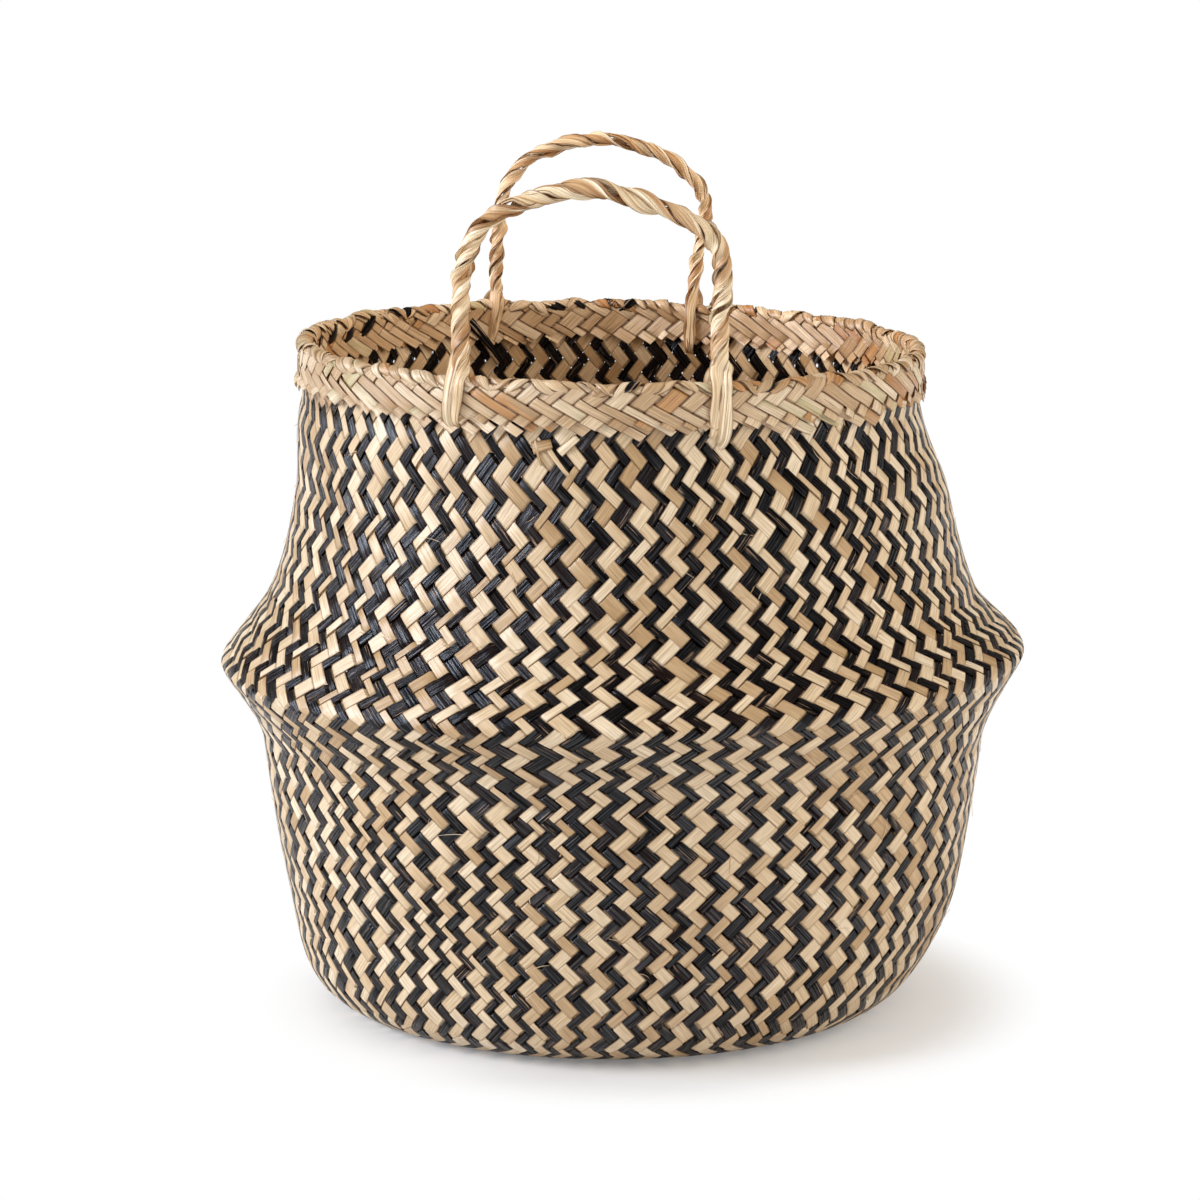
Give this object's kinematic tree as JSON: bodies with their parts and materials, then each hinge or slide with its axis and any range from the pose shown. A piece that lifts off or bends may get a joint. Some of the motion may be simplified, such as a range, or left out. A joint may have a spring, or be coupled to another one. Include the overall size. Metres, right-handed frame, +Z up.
{
  "type": "belly basket",
  "caption": "Plaited belly basket with a folded belly, a natural rim band and swinging plaited carrying handles.",
  "frame": {"origin": "centre of the belly's axis on the floor, under the basket", "axes": "+Z up along the body's axis, -Y towards the front handle, +X to the right seen from the front"},
  "size_m": [0.38, 0.38, 0.402],
  "materials": {
    "two_tone_weave": "dry split sedge, natural and black dyed, slight sheen",
    "natural_strip": "dry split sedge, satin",
    "plaited_leaf": "dry folded leaf, satin"
  },
  "bodies": {
    "basket_foot": {"base_floor": "two_tone_weave", "heel_turn": "two_tone_weave", "lower_wall": "two_tone_weave", "belly_fold": "two_tone_weave"},
    "basket_top": {"upper_wall": "two_tone_weave", "rim_band": "natural_strip", "front_handle_loop_left": "plaited_leaf", "front_handle_loop_right": "plaited_leaf", "back_handle_loop_left": "plaited_leaf", "back_handle_loop_right": "plaited_leaf"},
    "front_handle": {"front_handle": "plaited_leaf"},
    "back_handle": {"back_handle": "plaited_leaf"}
  },
  "joints": [
    {"name": "belly_collapse", "type": "slide", "parent": "basket_foot", "child": "basket_top", "axis": [0, 0, 1], "range_m": [-0.03, 0], "deforming": ["belly_fold"]},
    {"name": "front_handle_swing", "type": "hinge", "parent": "basket_top", "child": "front_handle", "pos_m": [-0.01425, -0.13128, 0.3225], "axis": [0.9977, -0.068, 0], "range_deg": [-90, 90]},
    {"name": "back_handle_swing", "type": "hinge", "parent": "basket_top", "child": "back_handle", "pos_m": [-0.01258, 0.13436, 0.3225], "axis": [-0.9985, -0.0541, 0], "range_deg": [-90, 90]}
  ]
}
